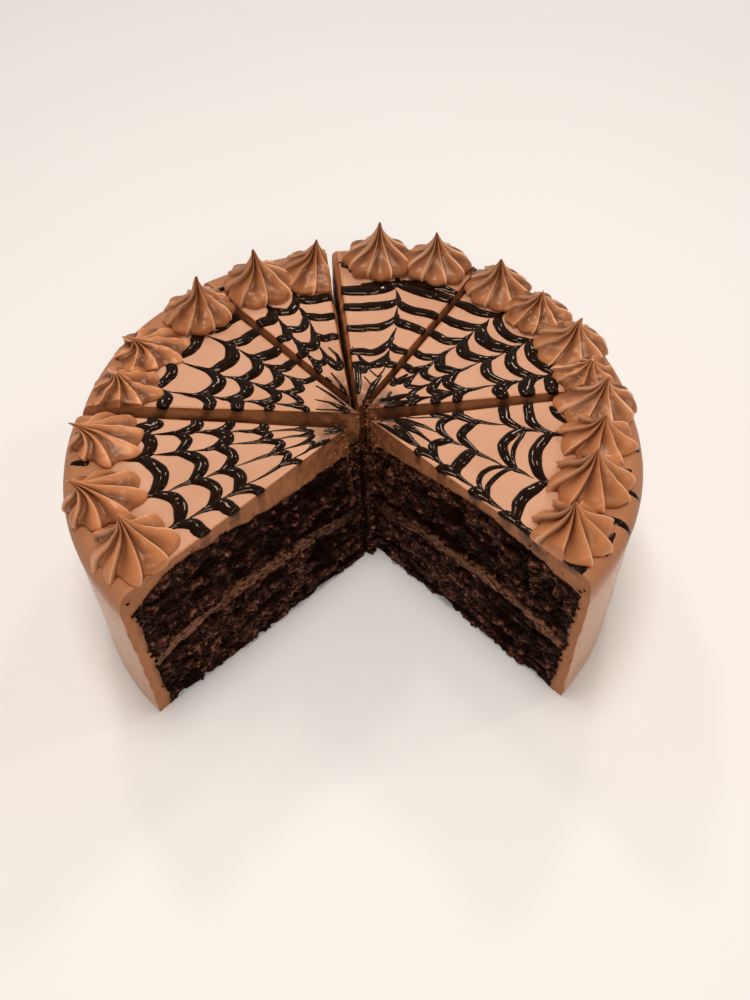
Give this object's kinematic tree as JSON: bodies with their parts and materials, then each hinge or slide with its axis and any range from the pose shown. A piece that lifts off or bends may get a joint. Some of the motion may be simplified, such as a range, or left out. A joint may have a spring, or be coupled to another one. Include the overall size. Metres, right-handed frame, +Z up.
{
  "type": "chocolate hazelnut cake",
  "caption": "Round layer cake cut into slices with one wedge taken out: dark sponge, nut cream filling and frosting, piped rosettes and a feathered ganache web.",
  "frame": {"origin": "middle of the whole cake's box, at its foot", "axes": "+Z up, -Y out through the missing wedge, +X to the right of it"},
  "size_m": [0.2198, 0.1966, 0.0978],
  "materials": {
    "sponge": "matt crumb",
    "filling": "satin",
    "frosting": "satin",
    "piping": "satin",
    "ganache": "glossy"
  },
  "bodies": {
    "root": {"lower_sponge_a": "sponge", "filling_a": "filling", "upper_sponge_a": "sponge", "frosting_a": "frosting", "lower_sponge_b": "sponge", "filling_b": "filling", "upper_sponge_b": "sponge", "frosting_b": "frosting", "lower_sponge_c": "sponge", "filling_c": "filling", "upper_sponge_c": "sponge", "frosting_c": "frosting", "lower_sponge_d": "sponge", "filling_d": "filling", "upper_sponge_d": "sponge", "frosting_d": "frosting", "lower_sponge_e": "sponge", "filling_e": "filling", "upper_sponge_e": "sponge", "frosting_e": "frosting", "lower_sponge_f": "sponge", "filling_f": "filling", "upper_sponge_f": "sponge", "frosting_f": "frosting", "rosette_a1": "piping", "rosette_a2": "piping", "rosette_a3": "piping", "rosette_b1": "piping", "rosette_b2": "piping", "rosette_b3": "piping", "rosette_c1": "piping", "rosette_c2": "piping", "rosette_d1": "piping", "rosette_d2": "piping", "rosette_e1": "piping", "rosette_e2": "piping", "rosette_e3": "piping", "rosette_e4": "piping", "rosette_f1": "piping", "rosette_f2": "piping", "rosette_f3": "piping", "rosette_f4": "piping"}
  },
  "joints": []
}
